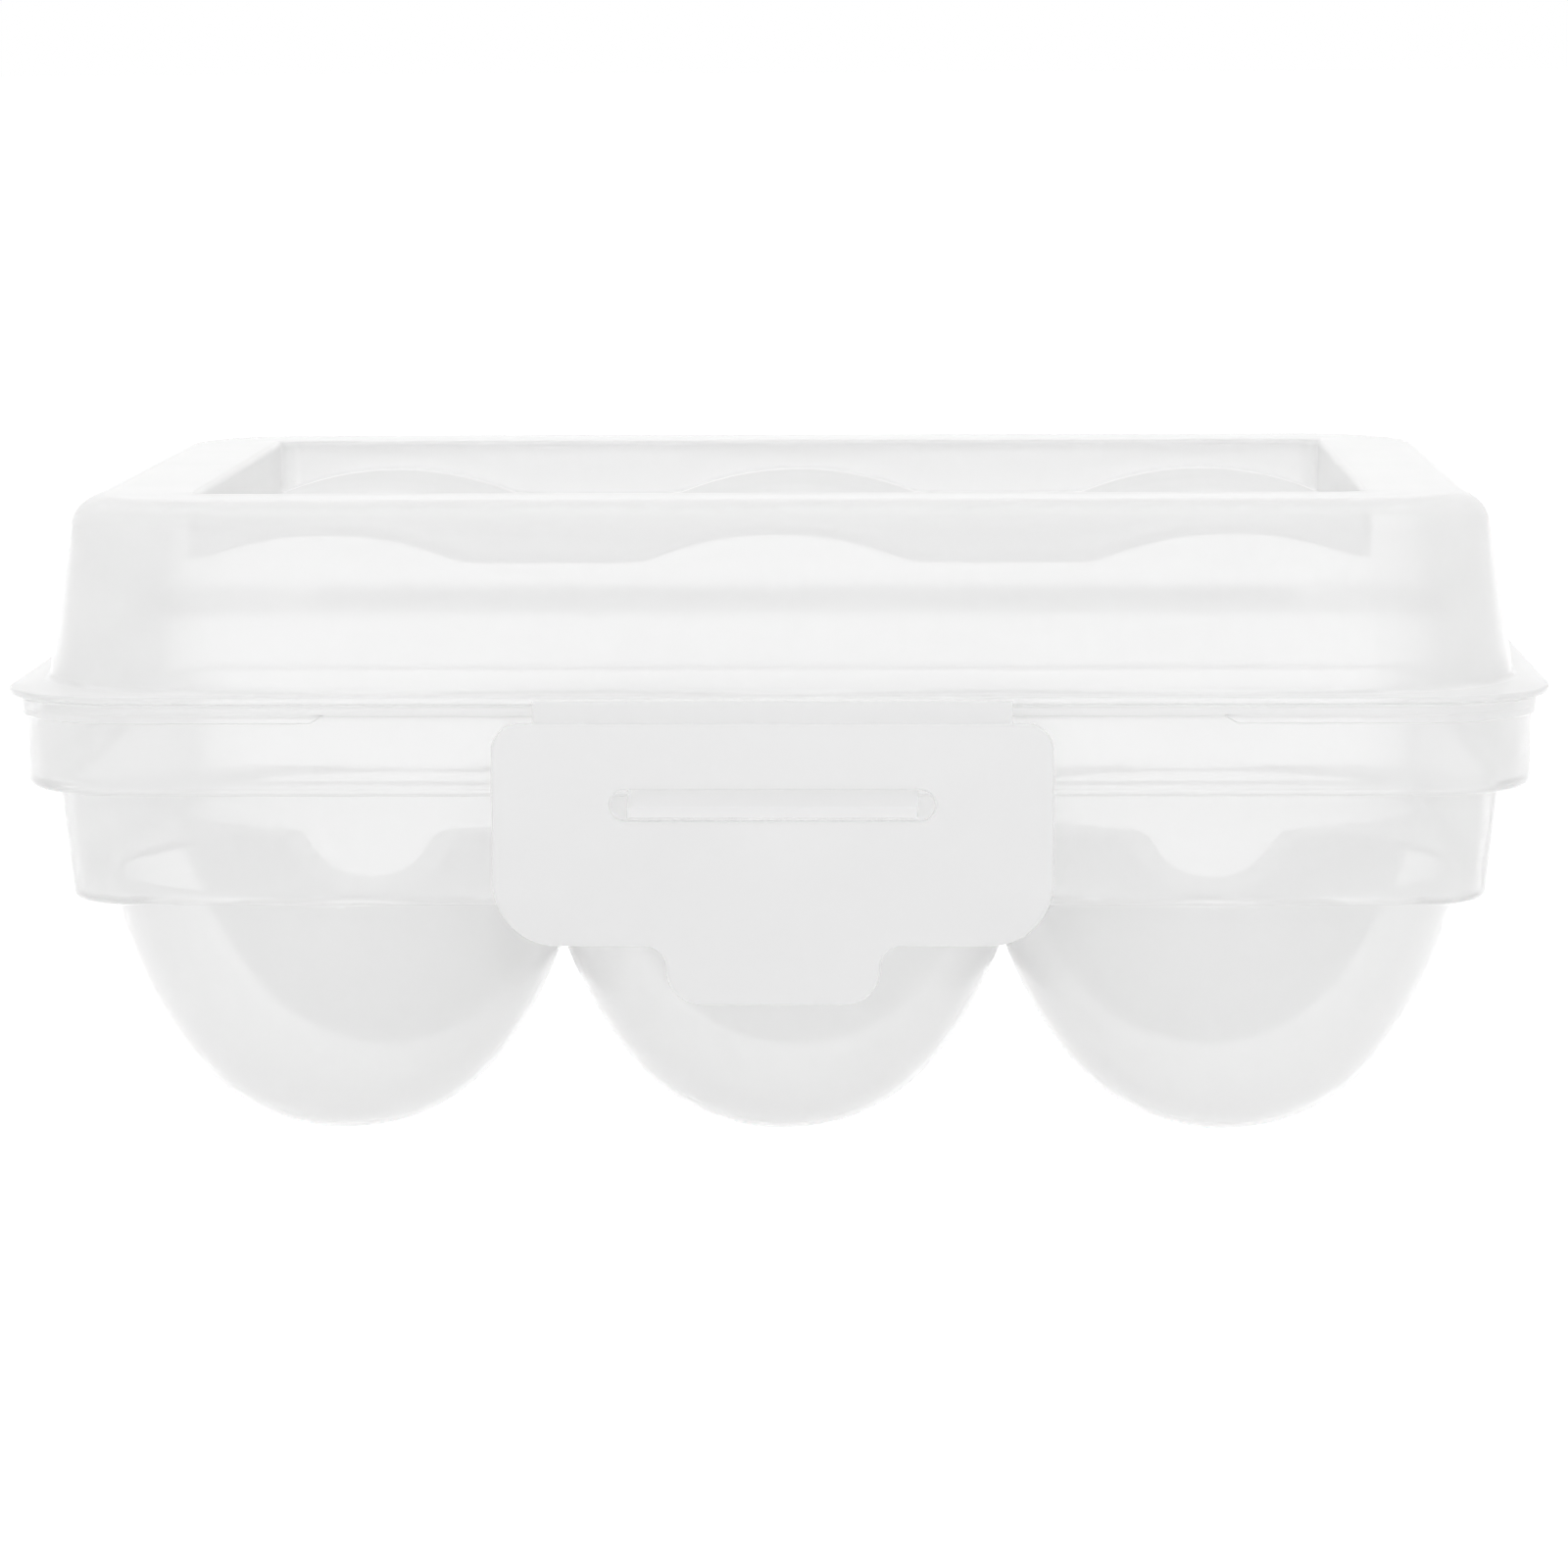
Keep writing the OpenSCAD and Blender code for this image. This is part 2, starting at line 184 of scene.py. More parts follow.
class Skin:
    """One side of the moulded tray: the six bowls and the deck, as a height over the plan."""

    FOOT_STEPS = 2
    BOTTOM_STEPS = 9
    SIDE_STEPS = 15
    EDGE_STEPS = 6
    DECK_STEPS = 4
    # Least distance between points of a spoke that is cut short
    CROWD = 0.02
    # Height difference at which two bowls begin to merge at their crease
    CREASE = 0.8

    def __init__(self, inset, deck_z, edge_r, wall_u):
        bottom_r = CUP_BOTTOM_ARC - inset
        side_r = CUP_SIDE_ARC - inset
        bottom_z = math.sqrt(CUP_BOTTOM_ARC**2 - CUP_FOOT_R**2)
        side_u = (CUP_BOTTOM_ARC - CUP_SIDE_ARC) * math.sin(CUP_BLEND_ANGLE)
        side_z = bottom_z - (CUP_BOTTOM_ARC - CUP_SIDE_ARC) * math.cos(CUP_BLEND_ANGLE)
        foot_u = math.sqrt(bottom_r**2 - (bottom_z - inset) ** 2)
        edge_z = deck_z - edge_r
        edge_u = side_u + math.sqrt((side_r + edge_r) ** 2 - (edge_z - side_z) ** 2)
        edge_angle = math.degrees(math.atan2(edge_z - side_z, edge_u - side_u))
        foot_angle = math.degrees(math.asin(foot_u / bottom_r))
        blend = math.degrees(CUP_BLEND_ANGLE)
        path = [(foot_u * i / self.FOOT_STEPS, inset) for i in range(self.FOOT_STEPS)]
        path += arc(0, bottom_z, bottom_r, foot_angle - 90, blend - 90, self.BOTTOM_STEPS)
        path += arc(side_u, side_z, side_r, blend - 90, edge_angle, self.SIDE_STEPS)[1:]
        path += arc(edge_u, edge_z, edge_r, 180 + edge_angle, 90, self.EDGE_STEPS)[1:]
        self.path = path
        self.deck_z = deck_z
        self.wall_u = wall_u

    def height(self, x, y):
        """Height of the skin at a point of the plan, with the creases between bowls eased."""
        found = sorted(
            interpolate(self.path, math.hypot(x - i * EGG_PITCH, y - j * HALF_PITCH))
            for i in (-1, 0, 1)
            for j in (-1, 1)
        )
        z = found[0]
        for other in found[1:3]:
            ease = min(self.CREASE, self.deck_z - z, self.deck_z - other)
            if ease > 1e-6:
                z = min(z, other) - ease_join(z - other, ease)
        return z

    def radii(self, reach):
        """Distances from a cup's centre at which a spoke of this reach has points."""
        rim_u = self.path[-1][0]
        radii = [p[0] for p in self.path]
        radii += [
            rim_u + max(0, reach - rim_u) * i / self.DECK_STEPS
            for i in range(1, self.DECK_STEPS + 1)
        ]
        count = len(radii) - 1
        return [min(r, reach - (count - k) * self.CROWD) for k, r in enumerate(radii)][1:]


SIDE_SPOKES = 26
CORNER_SPOKES = 12


def by_angle(a, b, steps):
    """Points on the straight line from a to b, evenly spread in angle about the origin."""
    start = math.atan2(a[1], a[0])
    end = math.atan2(b[1], b[0])
    if end < start:
        end += 2 * math.pi
    dx, dy = b[0] - a[0], b[1] - a[1]
    points = []
    for i in range(steps + 1):
        t = start + (end - start) * i / steps
        c, s = math.cos(t), math.sin(t)
        along = (a[0] * s - a[1] * c) / (dy * c - dx * s)
        points.append((a[0] + dx * along, a[1] + dy * along))
    return points


def wall_stations(corner_cell):
    """Where a cell meets the wall: a point on the corners' rectangle, and the outward direction."""
    c = CORNER_X - EGG_PITCH
    reach = c + BASE_CORNER_R
    stations = []
    if corner_cell:
        for _, y in by_angle((reach, -HALF_PITCH), (reach, c), SIDE_SPOKES):
            stations.append(((c, y), (1, 0)))
        for i in range(1, CORNER_SPOKES):
            t = math.radians(90 * i / CORNER_SPOKES)
            stations.append(((c, c), (math.cos(t), math.sin(t))))
        for x, _ in by_angle((c, reach), (-HALF_PITCH, reach), SIDE_SPOKES):
            stations.append(((x, c), (0, 1)))
    else:
        for x, _ in by_angle((HALF_PITCH, reach), (-HALF_PITCH, reach), SIDE_SPOKES):
            stations.append(((x, c), (0, 1)))
    return stations


def spoke_ends(corner_cell, skin):
    """The cell's outline about its cup's centre, from the wall on round by the neighbours."""
    h = HALF_PITCH
    wall = [
        (cx + nx * skin.wall_u, cy + ny * skin.wall_u)
        for (cx, cy), (nx, ny) in wall_stations(corner_cell)
    ]
    reach = CORNER_X - EGG_PITCH + skin.wall_u
    down = by_angle((-h, reach), (-h, -h), SIDE_SPOKES)
    if corner_cell:
        back = by_angle((-h, -h), (reach, -h), SIDE_SPOKES)
        return wall + down[1:] + back[1:-1]
    back = by_angle((-h, -h), (h, -h), SIDE_SPOKES)
    up = by_angle((h, -h), (h, reach), SIDE_SPOKES)
    return wall + down[1:] + back[1:] + up[1:-1]


def base_section(x, y, outer, inner):
    """Section of the base's wall from the underside of the tray to its top side."""
    front = y < 0 and abs(x) < RIM_NOTCH_W / 2
    apron_z = RIM_Z - (HAIR if front else RIM_APRON)
    ledge = y > CORNER_Y and abs(x) < LEDGE_HALF
    top_u = FLANGE_R if ledge else RIM_R + HAIR
    soft = 0.25
    corner = 0.5
    chamfer = 0.12
    section = arc(
        BASE_CORNER_R - BASE_EDGE_R, DECK_UNDER + BASE_EDGE_R, BASE_EDGE_R, -90, 0, 5
    )
    section[0] = (outer.wall_u, None)
    section += line(section[-1], (LOWER_R, COLLAR_Z - corner), 4)
    section += arc(LOWER_R + corner, COLLAR_Z - corner, corner, 180, 90, 4)[1:]
    section += arc(
        COLLAR_R - COLLAR_EDGE_R, COLLAR_Z + COLLAR_EDGE_R, COLLAR_EDGE_R, -90, 0, 6
    )
    section += line(section[-1], (COLLAR_R, apron_z - TUCK), 3)
    section += [(COLLAR_R + TUCK, apron_z), (RIM_R - chamfer, apron_z)]
    section += [(RIM_R, apron_z + chamfer)]
    section += [(RIM_R, RIM_Z), (top_u - 0.01, RIM_Z + 0.01), (top_u, RIM_Z + soft / 2)]
    section += arc(top_u - soft, RIM_TOP - soft, soft, 0, 90, 3)
    face = COLLAR_R - BASE_WALL
    ledge_z = COLLAR_Z + BASE_WALL
    section += arc(face + soft, RIM_TOP - soft, soft, 90, 180, 3)
    section += line(section[-1], (face, ledge_z + corner), 3)
    section += arc(face - corner, ledge_z + corner, corner, 0, -90, 4)[1:]
    low_face = LOWER_R - BASE_WALL
    section += arc(low_face + soft, ledge_z - soft, soft, 90, 180, 3)
    floor_face = BASE_CORNER_R - BASE_WALL
    floor_r = floor_face - inner.wall_u
    section += line(section[-1], (floor_face, DECK_TOP + floor_r), 4)
    section += arc(floor_face - floor_r, DECK_TOP + floor_r, floor_r, 0, -90, 3)[1:]
    section[-1] = (inner.wall_u, None)
    return section


def finish_mesh(bm, name, smooth_angle=40):
    """Welds a mesh in millimetres, turns its faces outwards and makes it an object in metres."""
    bmesh.ops.remove_doubles(bm, verts=bm.verts, dist=WELD)
    bmesh.ops.dissolve_degenerate(bm, edges=bm.edges, dist=SHORT_EDGE)
    bmesh.ops.recalc_face_normals(bm, faces=bm.faces)
    for v in bm.verts:
        v.co *= MM
    mesh = bpy.data.meshes.new(name)
    bm.to_mesh(mesh)
    bm.free()
    mesh.set_sharp_from_angle(angle=math.radians(smooth_angle))
    obj = bpy.data.objects.new(name, mesh)
    bpy.context.scene.collection.objects.link(obj)
    return obj


def strip_faces(bm, rows, closed=False):
    """Quads between rows of vertices."""
    for a, b in zip(rows, rows[1:]):
        count = len(a)
        for i in range(count if closed else count - 1):
            j = (i + 1) % count
            bm.faces.new((a[i], a[j], b[j], b[i]))


def build_base():
    """Wall, collar, rim, deck and cups as the one moulding that they are."""
    outer = Skin(0, DECK_UNDER, UNDER_EDGE_R, BASE_CORNER_R - BASE_EDGE_R)
    inner = Skin(CUP_WALL, DECK_TOP, TOP_EDGE_R, BASE_CORNER_R - BASE_WALL - FLOOR_FILLET)
    bm = bmesh.new()
    cells = [(1, sx, sy) for sx in (-1, 1) for sy in (-1, 1)] + [(0, 1, sy) for sy in (-1, 1)]
    for col, sx, sy in cells:
        cup_x, cup_y = sx * col * EGG_PITCH, sy * HALF_PITCH
        for skin in (outer, inner):
            ends = spoke_ends(col == 1, skin)
            spokes = []
            for ex, ey in ends:
                reach = math.hypot(ex, ey)
                spoke = []
                for r in skin.radii(reach):
                    x = cup_x + sx * ex * r / reach
                    y = cup_y + sy * ey * r / reach
                    spoke.append(bm.verts.new((x, y, skin.height(x, y))))
                spokes.append(spoke)
            centre = bm.verts.new((cup_x, cup_y, skin.height(cup_x, cup_y)))
            count = len(spokes)
            for i in range(count):
                a, b = spokes[i], spokes[(i + 1) % count]
                bm.faces.new((centre, a[0], b[0]))
                for k in range(len(a) - 1):
                    bm.faces.new((a[k], a[k + 1], b[k + 1], b[k]))
        columns = []
        for (cx, cy), (nx, ny) in wall_stations(col == 1):
            px, py = cup_x + sx * cx, cup_y + sy * cy
            mx, my = sx * nx, sy * ny
            section = base_section(px + mx * RIM_R, py + my * RIM_R, outer, inner)
            points = []
            for k, (u, z) in enumerate(section):
                x, y = px + mx * u, py + my * u
                if z is None:
                    z = (outer if k == 0 else inner).height(x, y)
                points.append(bm.verts.new((x, y, z)))
            columns.append(points)
        strip_faces(bm, columns)
    return finish_mesh(bm, "base_moulding")


LONG_STEPS = 60
SHORT_STEPS = 36
ARC_STEPS = 14


def lid_stations():
    """Stations round the lid: corner centre for the flange, for the wall, and the direction."""
    stations = []
    sides = [(1, 1), (-1, 1), (-1, -1), (1, -1)]
    for k, (sx, sy) in enumerate(sides):
        for i in range(ARC_STEPS):
            t = math.radians(90 * k + 90 * i / ARC_STEPS)
            n = (math.cos(t), math.sin(t))
            stations.append((
                (sx * CORNER_X, sy * CORNER_Y), (sx * LID_CORNER_X, sy * LID_CORNER_Y), n
            ))
        nx, ny = sides[(k + 1) % 4]
        t = math.radians(90 * (k + 1))
        n = (round(math.cos(t)), round(math.sin(t)))
        steps = LONG_STEPS if k % 2 == 0 else SHORT_STEPS
        for i in range(steps):
            f = i / steps
            stations.append((
                (CORNER_X * (sx + (nx - sx) * f), CORNER_Y * (sy + (ny - sy) * f)),
                (LID_CORNER_X * (sx + (nx - sx) * f), LID_CORNER_Y * (sy + (ny - sy) * f)),
                n
            ))
    return stations


ARCH_HALF_W = (EGG_PITCH - ARCH_GAP) / 2
ARCH_R = (ARCH_HALF_W**2 + ARCH_RISE**2) / (2 * ARCH_RISE)
# Height difference at which an arch begins to merge with the panel's flat floor
ARCH_CREASE = 0.5


def panel_height(x, thickness):
    """Height of the sunken panel's floor, or of its underside when thickness is 0."""
    flat = PAN_Z + thickness
    off = abs(x - EGG_PITCH * max(-1, min(1, round(x / EGG_PITCH))))
    r = ARCH_R + thickness
    arch = PAN_Z + ARCH_RISE - ARCH_R + math.sqrt(max(r * r - off * off, 0))
    return max(arch, flat) + ease_join(arch - flat, ARCH_CREASE)


def lid_section(station):
    """Points from the top of the panel's floor over the lid, round the flange and back inside."""
    a, b, n = station

    def at(centre, u, z):
        return (centre[0] + n[0] * u, centre[1] + n[1] * u, z)

    face = PANEL_R - LID_WALL
    floor_u = face - PAN_FILLET
    floor_x = b[0] + n[0] * floor_u
    floor_z = panel_height(floor_x, LID_WALL)
    under_z = panel_height(floor_x, 0)
    lean = math.atan(LID_LEAN / (LID_TOP - FLANGE_TOP))
    lean_deg = math.degrees(lean)
    edge_u = (
        LID_CORNER_R
        - (LID_TOP - FLANGE_TOP - LID_EDGE_R) * math.tan(lean)
        - LID_EDGE_R / math.cos(lean)
    )
    edge_z = LID_TOP - LID_EDGE_R
    top = arc(floor_u, floor_z + PAN_FILLET, PAN_FILLET, -90, 0, 5)
    top += line(top[-1], (face, LID_TOP - PAN_EDGE_R), 2)
    top += arc(face + PAN_EDGE_R, LID_TOP - PAN_EDGE_R, PAN_EDGE_R, 180, 90, 5)[1:]
    top += line(top[-1], (edge_u, LID_TOP), 3)
    top += arc(edge_u, edge_z, LID_EDGE_R, 90, lean_deg, 8)[1:]
    foot = 0.8
    foot_u = LID_CORNER_R - foot * math.tan(lean)
    top += line(top[-1], (foot_u, FLANGE_TOP + foot), 6)
    top += arc(foot_u + foot, FLANGE_TOP + foot, foot, 180, 270, 4)[1:]
    points = [at(b, u, z) for u, z in top]
    soft = 0.3
    rim = arc(FLANGE_R - soft, FLANGE_TOP - soft, soft, 90, 0, 3)
    rim += arc(FLANGE_R - soft, FLANGE_Z + soft, soft, 0, -90, 3)
    rim += [(LIP_R + soft, FLANGE_Z), (LIP_R, FLANGE_Z - soft)]
    rim += arc(LIP_R - soft, LIP_Z + soft, soft, 0, -90, 3)
    rim += arc(LIP_R - LIP_T + soft, LIP_Z + soft, soft, -90, -180, 3)
    step = 0.15
    rim += [(LIP_R - LIP_T, FLANGE_Z - step)]
    points += [at(a, u, z) for u, z in rim]
    hole_u = CORNER_X + LIP_R - LIP_T - LID_CORNER_X
    inner_u = LID_CORNER_R - LID_WALL / math.cos(lean)
    inside = [(hole_u, FLANGE_Z + step), (hole_u, FLANGE_TOP - 0.2)]
    inside += [((hole_u + inner_u) / 2, FLANGE_TOP), (inner_u - 0.01, FLANGE_TOP + 0.3)]
    inner_r = LID_EDGE_R - LID_WALL
    rounding = arc(edge_u, edge_z, inner_r, lean_deg, 90, 6)
    inside += line(inside[-1], rounding[0], 6)
    inside += rounding[1:]
    hang = 0.25
    inside += [(PANEL_R + hang, LID_TOP - LID_WALL)]
    inside += arc(PANEL_R + hang, LID_TOP - LID_WALL - hang, hang, 90, 180, 3)[1:]
    turn = arc(PANEL_R - PAN_FILLET, under_z + PAN_FILLET, PAN_FILLET, 0, -90, 5)
    if turn[0][1] < inside[-1][1] - EMBED:
        inside += [turn[0]]
    else:
        inside += [(inside[-1][0], inside[-1][1] - HAIR)]
    inside += turn[1:]
    points += [at(b, u, z) for u, z in inside]
    return points


def build_lid():
    """Flange, wall, border and sunken panel as the one moulding that they are."""
    bm = bmesh.new()
    stations = lid_stations()
    columns = [[bm.verts.new(p) for p in lid_section(s)] for s in stations]
    strip_faces(bm, columns + columns[:1])
    count = len(stations)
    arc_n, long_n, short_n = ARC_STEPS, LONG_STEPS, SHORT_STEPS
    # The floor's rows run from the back edge, two arcs and a long side wide, to the front edge
    across = arc_n + long_n + arc_n
    for side, thickness in ((0, LID_WALL), (-1, 0)):
        rows = []
        for i in range(across + 1):
            back = columns[i % count][side]
            front = columns[(-short_n - i) % count][side]
            row = [back]
            for k in range(1, short_n):
                f = k / short_n
                x = back.co.x
                y = back.co.y + (front.co.y - back.co.y) * f
                row.append(bm.verts.new((x, y, panel_height(x, thickness))))
            row.append(front)
            rows.append(row)
        strip_faces(bm, rows)
    return finish_mesh(bm, "lid_moulding")


def rounded_corner(x, z, r, start, steps=10):
    """Points round a corner whose centre is given."""
    return [
        (x + r * math.cos(t), z + r * math.sin(t))
        for t in (math.radians(start + 90 * i / steps) for i in range(steps + 1))
    ]


def flap_outline():
    """Outline of the latch flap with its thumb tab, counter-clockwise seen from the front."""
    half = (flap_high.x - flap_low.x) / 2
    top = flap_high.z
    low = flap_low.z + TAB_H
    tab = TAB_W / 2
    right = []
    right += rounded_corner(tab - TAB_R, flap_low.z + TAB_R, TAB_R, -90)
    hollow = rounded_corner(tab + TAB_FILLET_R, low - TAB_FILLET_R, TAB_FILLET_R, 90)
    right += hollow[::-1]
    right += rounded_corner(half - FLAP_LOW_R, low + FLAP_LOW_R, FLAP_LOW_R, -90, 14)
    right += rounded_corner(half - FLAP_TOP_R, top - FLAP_TOP_R, FLAP_TOP_R, 0)
    left = [(-x, z) for x, z in reversed(right)]
    return right + left


def slot_outline():
    """Outline of the slot, with round ends."""
    r = SLOT_H / 2
    z = flap_high.z - SLOT_DROP - r
    end = SLOT_W / 2 - r
    right = [
        (end + r * math.cos(t), z + r * math.sin(t))
        for t in (math.radians(-90 + 180 * i / 16) for i in range(17))
    ]
    return right + [(-x, zz) for x, zz in reversed(right)]


def build_flap():
    """Flat flap with softened edges. The soft edge is cut into the plate's own thickness."""
    soft = 0.3
    curve = bpy.data.curves.new("flap", "CURVE")
    curve.dimensions = "2D"
    curve.fill_mode = "BOTH"
    thickness = flap_high.y - flap_low.y
    curve.extrude = (thickness / 2 - soft) * MM
    curve.bevel_depth = soft * MM
    curve.bevel_resolution = 3
    curve.offset = -soft * MM
    for outline in (flap_outline(), slot_outline()):
        spline = curve.splines.new("POLY")
        spline.points.add(len(outline) - 1)
        for point, (x, z) in zip(spline.points, outline):
            point.co = (x * MM, z * MM, 0, 1)
        spline.use_cyclic_u = True
    holder = bpy.data.objects.new("flap_curve", curve)
    bpy.context.scene.collection.objects.link(holder)
    bpy.context.view_layer.update()
    graph = bpy.context.evaluated_depsgraph_get()
    mesh = bpy.data.meshes.new_from_object(holder.evaluated_get(graph))
    bpy.data.objects.remove(holder)
    bm = bmesh.new()
    bm.from_mesh(mesh)
    middle = (flap_high.y + flap_low.y) / 2
    for v in bm.verts:
        x, z, y = v.co / MM
        v.co = (x, middle - y, z)
    return finish_mesh(bm, "latch_flap_moulding")


def sweep_along_x(name, section, half, steps, smooth_angle=40):
    """A closed section in the Y-Z plane drawn along X, with flat ends."""
    bm = bmesh.new()
    rows = []
    for i in range(steps + 1):
        x = -half + 2 * half * i / steps
        rows.append([bm.verts.new((x, y, z)) for y, z in section])
    strip_faces(bm, rows, closed=True)
    bm.faces.new(rows[0])
    bm.faces.new(rows[-1][::-1])
    return finish_mesh(bm, name, smooth_angle)


def ribbon(path, thickness):
    """Closed section of a strip of even thickness along a path in the Y-Z plane."""
    left, right = [], []
    for i, p in enumerate(path):
        before = path[max(i - 1, 0)]
        after = path[min(i + 1, len(path) - 1)]
        d = Vector((after[0] - before[0], after[1] - before[1])).normalized()
        n = Vector((-d.y, d.x)) * thickness / 2
        left.append((p[0] + n.x, p[1] + n.y))
        right.append((p[0] - n.x, p[1] - n.y))
    return left + right[::-1]


def build_back_film():
    """Film hinge at the back, bent round from the base's ledge to the lid's flange."""
    low = back_film_low.z + FILM_T / 2
    high = back_film_high.z - FILM_T / 2
    r = (high - low) / 2
    start = back_film_low.y - TUCK
    bend = back_film_high.y - r - FILM_T / 2
    path = [(start, low)] + arc(bend, (low + high) / 2, r, -90, 90, 16) + [(start, high)]
    piece = sweep_along_x("lid_film_strip", ribbon(path, FILM_T), LEDGE_HALF, 24)
    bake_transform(piece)
    return piece


def build_latch_film():
    """Film over the latch flap, from the flange's edge down to the flap."""
    thickness = latch_film_high.y - latch_film_low.y
    y = (latch_film_low.y + latch_film_high.y) / 2
    low, high = latch_film_low.z - TUCK, latch_film_high.z
    steps = 14
    path = [(y, low + (high - low) * i / steps) for i in range(steps + 1)]
    half = (latch_film_high.x - latch_film_low.x) / 2
    piece = sweep_along_x("latch_film_strip", ribbon(path, thickness), half, 16)
    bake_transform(piece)
    return piece


def soften(obj, width):
    """Rounds an object's edges by a bevel that is then part of its mesh."""
    bevel = obj.modifiers.new("soft edges", "BEVEL")
    bevel.width = width * MM
    bevel.segments = 3
    bevel.limit_method = "ANGLE"
    graph = bpy.context.evaluated_depsgraph_get()
    mesh = bpy.data.meshes.new_from_object(obj.evaluated_get(graph))
    obj.modifiers.clear()
    obj.data = mesh


def build_catch_bar():
    """Bar on the collar that the flap's slot snaps over, with a sloping top."""
    tip_h = 1.0
    back_y = -(CORNER_Y + LOWER_R) + EMBED
    face_y = -(CORNER_Y + COLLAR_R) + EMBED
    low, high = catch_low.z, catch_high.z
    tip = catch_low.y
    section = [
        (back_y, low), (back_y, COLLAR_Z + EMBED), (face_y, COLLAR_Z + COLLAR_EDGE_R * 0.9),
        (face_y, high), (tip, low + tip_h), (tip, low)
    ]
    piece = sweep_along_x("catch_bar_moulding", section, (catch_high.x - catch_low.x) / 2, 1)
    soften(piece, BAR_EDGE_R)
    return piece


# Milky plastic hides more of what is behind it where it is seen at a slant
SLANT_BLEND = 0.2
SLANT_MILK = 0.95
# Share of the light that the plastic scatters on to what is behind it
LIGHT_PASSED = 0.85
# Thin walls bend the view through them less than a solid block would
WALL_IOR = 1.2
SHEEN_WEIGHT = 0.3
SHEEN_ROUGHNESS = 0.3
# Cloudiness: its size, how dark it goes, and how far the roughness follows it
CLOUD_SCALE = 28
CLOUD_SHADE = 0.975
SMOOTHER = 0.02
ROUGHER = 0.04
# Unevenness of the walls and grain of the surface: size, strength and depth in metres
WAVE_SCALE, WAVE_STRENGTH, WAVE_DEPTH = 60, 0.12, 0.0004
GRAIN_SCALE, GRAIN_STRENGTH, GRAIN_DEPTH = 1800, 0.06, 0.00004


def map_range(nodes, to_min, to_max):
    """A node that maps 0 to 1 on to a range."""
    node = nodes.new("ShaderNodeMapRange")
    node.inputs["To Min"].default_value = to_min
    node.inputs["To Max"].default_value = to_max
    return node


def maths(nodes, operation, factor=None):
    """A maths node, with its second value set where a factor is given."""
    node = nodes.new("ShaderNodeMath")
    node.operation = operation
    if factor is not None:
        node.inputs[1].default_value = factor
    return node


def noise(nodes, links, coords, scale, detail):
    """Noise in the object's own coordinates."""
    node = nodes.new("ShaderNodeTexNoise")
    node.inputs["Scale"].default_value = scale
    node.inputs["Detail"].default_value = detail
    links.new(coords.outputs["Object"], node.inputs["Vector"])
    return node.outputs["Fac"]


def bump(nodes, links, height, strength, depth):
    """A bump node that reads its height from a socket."""
    node = nodes.new("ShaderNodeBump")
    node.inputs["Strength"].default_value = strength
    node.inputs["Distance"].default_value = depth
    links.new(height, node.inputs["Height"])
    return node


def plastic(name, colour, milk, roughness):
    """Milky polypropylene: faint cloudiness in the colour, fine grain and a slight sheen."""
    mat = bpy.data.materials.new(name)
    mat.use_nodes = True
    nodes, links = mat.node_tree.nodes, mat.node_tree.links
    shader = nodes["Principled BSDF"]
    shader.inputs["IOR"].default_value = WALL_IOR
    shader.inputs["Coat Weight"].default_value = SHEEN_WEIGHT
    shader.inputs["Coat Roughness"].default_value = SHEEN_ROUGHNESS

    coords = nodes.new("ShaderNodeTexCoord")
    cloud = noise(nodes, links, coords, CLOUD_SCALE, 3)
    tint = nodes.new("ShaderNodeMix")
    tint.data_type = "RGBA"
    tint.inputs["A"].default_value = (*[c * CLOUD_SHADE for c in colour], 1)
    tint.inputs["B"].default_value = (*colour, 1)
    links.new(cloud, tint.inputs["Factor"])
    links.new(tint.outputs["Result"], shader.inputs["Base Color"])
    spread = map_range(nodes, roughness - SMOOTHER, roughness + ROUGHER)
    links.new(cloud, spread.inputs["Value"])
    links.new(spread.outputs["Result"], shader.inputs["Roughness"])

    wave = noise(nodes, links, coords, WAVE_SCALE, 1)
    dents = bump(nodes, links, wave, WAVE_STRENGTH, WAVE_DEPTH)
    grain = noise(nodes, links, coords, GRAIN_SCALE, 2)
    grains = bump(nodes, links, grain, GRAIN_STRENGTH, GRAIN_DEPTH)
    links.new(dents.outputs["Normal"], grains.inputs["Normal"])
    links.new(grains.outputs["Normal"], shader.inputs["Normal"])

    slant = nodes.new("ShaderNodeLayerWeight")
    slant.inputs["Blend"].default_value = SLANT_BLEND
    clear = map_range(nodes, 1 - milk, 1 - SLANT_MILK)
    links.new(slant.outputs["Facing"], clear.inputs["Value"])
    links.new(clear.outputs["Result"], shader.inputs["Transmission Weight"])

    path = nodes.new("ShaderNodeLightPath")
    lit = maths(nodes, "MAXIMUM")
    links.new(path.outputs["Is Shadow Ray"], lit.inputs[0])
    links.new(path.outputs["Is Diffuse Ray"], lit.inputs[1])
    passed = maths(nodes, "MULTIPLY", LIGHT_PASSED)
    links.new(lit.outputs[0], passed.inputs[0])
    gap = nodes.new("ShaderNodeBsdfTransparent")
    mix = nodes.new("ShaderNodeMixShader")
    links.new(passed.outputs[0], mix.inputs["Fac"])
    links.new(shader.outputs[0], mix.inputs[1])
    links.new(gap.outputs[0], mix.inputs[2])
    links.new(mix.outputs[0], nodes["Material Output"].inputs["Surface"])
    return mat


def dress(obj, mat):
    """Gives an object one material."""
    obj.data.materials.clear()
    obj.data.materials.append(mat)


base_finish = plastic("base milky plastic", (0.94, 0.94, 0.94), milk=0.34, roughness=0.05)
# The lid is the same milky plastic as the base, its colour set a little lighter: painted light on
# the lid.
lid_plastic_painted_light = plastic("lid milky plastic", (0.95, 0.95, 0.95), milk=0.34, roughness=0.12)
thick_finish = plastic("thick milky plastic", (0.94, 0.94, 0.94), milk=0.75, roughness=0.3)
